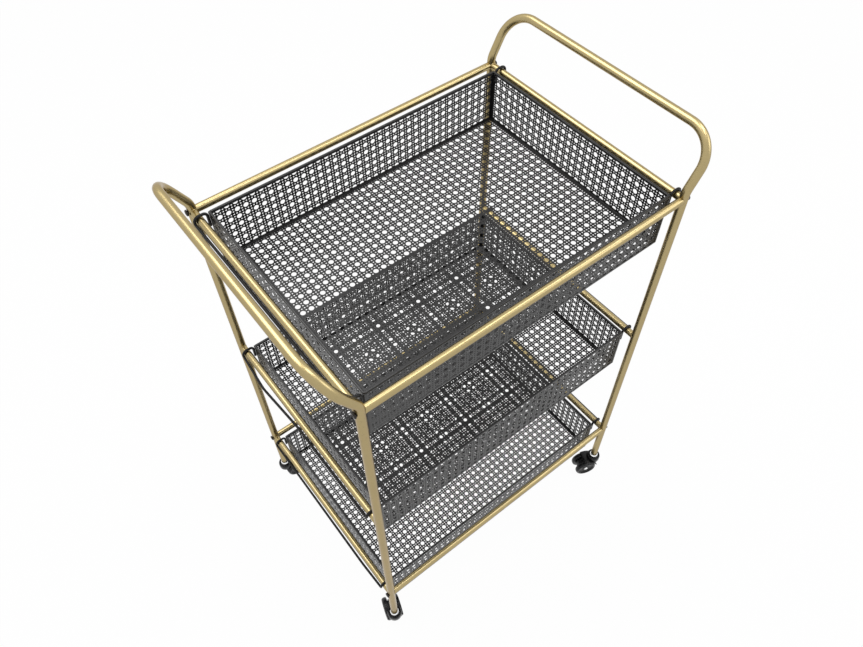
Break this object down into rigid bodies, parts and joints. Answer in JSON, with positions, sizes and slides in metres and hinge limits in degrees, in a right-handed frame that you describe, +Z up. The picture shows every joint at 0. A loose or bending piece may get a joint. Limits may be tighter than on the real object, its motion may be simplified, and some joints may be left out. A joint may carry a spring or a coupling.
{
  "type": "rolling three-tier cart",
  "caption": "Rolling cart with bent-tube end frames and handles, lift-off perforated trays on wire hangers and twin-wheel swivel castors.",
  "frame": {"origin": "on the floor at the centre of the footprint", "axes": "+Z up, +X along the length towards the right handle, front long side at -Y"},
  "size_m": [0.5974, 0.4123, 0.8518],
  "materials": {
    "brass_tube": "satin brass-tone plating on steel tube",
    "black_sheet": "matte black powder coat on perforated steel sheet",
    "black_wire": "matte black powder coat on steel wire",
    "black_bolt": "blackened steel",
    "castor_plastic": "moulded black plastic",
    "bright_steel": "bright plated steel"
  },
  "bodies": {
    "frame": {"end_frame_left": "brass_tube", "end_rail_left_top": "brass_tube", "end_rail_left_middle": "brass_tube", "end_rail_left_bottom": "brass_tube", "end_frame_right": "brass_tube", "end_rail_right_top": "brass_tube", "end_rail_right_middle": "brass_tube", "end_rail_right_bottom": "brass_tube", "long_rail_front_top": "brass_tube", "bolt_front_left_top": "black_bolt", "bolt_front_right_top": "black_bolt", "long_rail_back_top": "brass_tube", "bolt_back_left_top": "black_bolt", "bolt_back_right_top": "black_bolt", "long_rail_front_bottom": "brass_tube", "bolt_front_left_bottom": "black_bolt", "bolt_front_right_bottom": "black_bolt", "long_rail_back_bottom": "brass_tube", "bolt_back_left_bottom": "black_bolt", "bolt_back_right_bottom": "black_bolt", "castor_socket_front_left": "castor_plastic", "castor_stem_front_left": "bright_steel", "castor_socket_front_right": "castor_plastic", "castor_stem_front_right": "bright_steel", "castor_socket_back_left": "castor_plastic", "castor_stem_back_left": "bright_steel", "castor_socket_back_right": "castor_plastic", "castor_stem_back_right": "bright_steel"},
    "basket_top": {"tray_top": "black_sheet", "hanger_left_top": "black_wire", "hanger_right_top": "black_wire"},
    "basket_middle": {"tray_middle": "black_sheet", "hanger_left_middle": "black_wire", "hanger_right_middle": "black_wire"},
    "basket_bottom": {"tray_bottom": "black_sheet", "hanger_left_bottom": "black_wire", "hanger_right_bottom": "black_wire"},
    "castor_front_left": {"castor_hood_front_left": "castor_plastic", "castor_axle_front_left": "bright_steel"},
    "wheel_front_left_a": {"wheel_front_left_a": "castor_plastic"},
    "wheel_front_left_b": {"wheel_front_left_b": "castor_plastic"},
    "castor_front_right": {"castor_hood_front_right": "castor_plastic", "castor_axle_front_right": "bright_steel"},
    "wheel_front_right_a": {"wheel_front_right_a": "castor_plastic"},
    "wheel_front_right_b": {"wheel_front_right_b": "castor_plastic"},
    "castor_back_left": {"castor_hood_back_left": "castor_plastic", "castor_axle_back_left": "bright_steel"},
    "wheel_back_left_a": {"wheel_back_left_a": "castor_plastic"},
    "wheel_back_left_b": {"wheel_back_left_b": "castor_plastic"},
    "castor_back_right": {"castor_hood_back_right": "castor_plastic", "castor_axle_back_right": "bright_steel"},
    "wheel_back_right_a": {"wheel_back_right_a": "castor_plastic"},
    "wheel_back_right_b": {"wheel_back_right_b": "castor_plastic"}
  },
  "joints": [
    {"name": "basket_top_lift", "type": "slide", "parent": "frame", "child": "basket_top", "axis": [0, 0, 1], "range_m": [0, 0.2]},
    {"name": "basket_middle_lift", "type": "slide", "parent": "frame", "child": "basket_middle", "axis": [0, 0, 1], "range_m": [0, 0.19]},
    {"name": "basket_bottom_lift", "type": "slide", "parent": "frame", "child": "basket_bottom", "axis": [0, 0, 1], "range_m": [0, 0.19]},
    {"name": "swivel_front_left", "type": "hinge", "parent": "frame", "child": "castor_front_left", "pos_m": [-0.255, -0.19075, 0.052], "axis": [0, 0, 1], "continuous": true},
    {"name": "spin_front_left_a", "type": "hinge", "parent": "castor_front_left", "child": "wheel_front_left_a", "pos_m": [-0.24944, -0.17363, 0.021], "axis": [-0.9511, 0.309, 0], "continuous": true},
    {"name": "spin_front_left_b", "type": "hinge", "parent": "castor_front_left", "child": "wheel_front_left_b", "pos_m": [-0.24944, -0.17363, 0.021], "axis": [-0.9511, 0.309, 0], "continuous": true},
    {"name": "swivel_front_right", "type": "hinge", "parent": "frame", "child": "castor_front_right", "pos_m": [0.255, -0.19075, 0.052], "axis": [0, 0, 1], "continuous": true},
    {"name": "spin_front_right_a", "type": "hinge", "parent": "castor_front_right", "child": "wheel_front_right_a", "pos_m": [0.23831, -0.18401, 0.021], "axis": [-0.3746, -0.9272, 0], "continuous": true},
    {"name": "spin_front_right_b", "type": "hinge", "parent": "castor_front_right", "child": "wheel_front_right_b", "pos_m": [0.23831, -0.18401, 0.021], "axis": [-0.3746, -0.9272, 0], "continuous": true},
    {"name": "swivel_back_left", "type": "hinge", "parent": "frame", "child": "castor_back_left", "pos_m": [-0.255, 0.19075, 0.052], "axis": [0, 0, 1], "continuous": true},
    {"name": "spin_back_left_a", "type": "hinge", "parent": "castor_back_left", "child": "wheel_back_left_a", "pos_m": [-0.237, 0.19075, 0.021], "axis": [0, 1, 0], "continuous": true},
    {"name": "spin_back_left_b", "type": "hinge", "parent": "castor_back_left", "child": "wheel_back_left_b", "pos_m": [-0.237, 0.19075, 0.021], "axis": [0, 1, 0], "continuous": true},
    {"name": "swivel_back_right", "type": "hinge", "parent": "frame", "child": "castor_back_right", "pos_m": [0.255, 0.19075, 0.052], "axis": [0, 0, 1], "continuous": true},
    {"name": "spin_back_right_a", "type": "hinge", "parent": "castor_back_right", "child": "wheel_back_right_a", "pos_m": [0.264, 0.17516, 0.021], "axis": [0.866, 0.5, 0], "continuous": true},
    {"name": "spin_back_right_b", "type": "hinge", "parent": "castor_back_right", "child": "wheel_back_right_b", "pos_m": [0.264, 0.17516, 0.021], "axis": [0.866, 0.5, 0], "continuous": true}
  ]
}
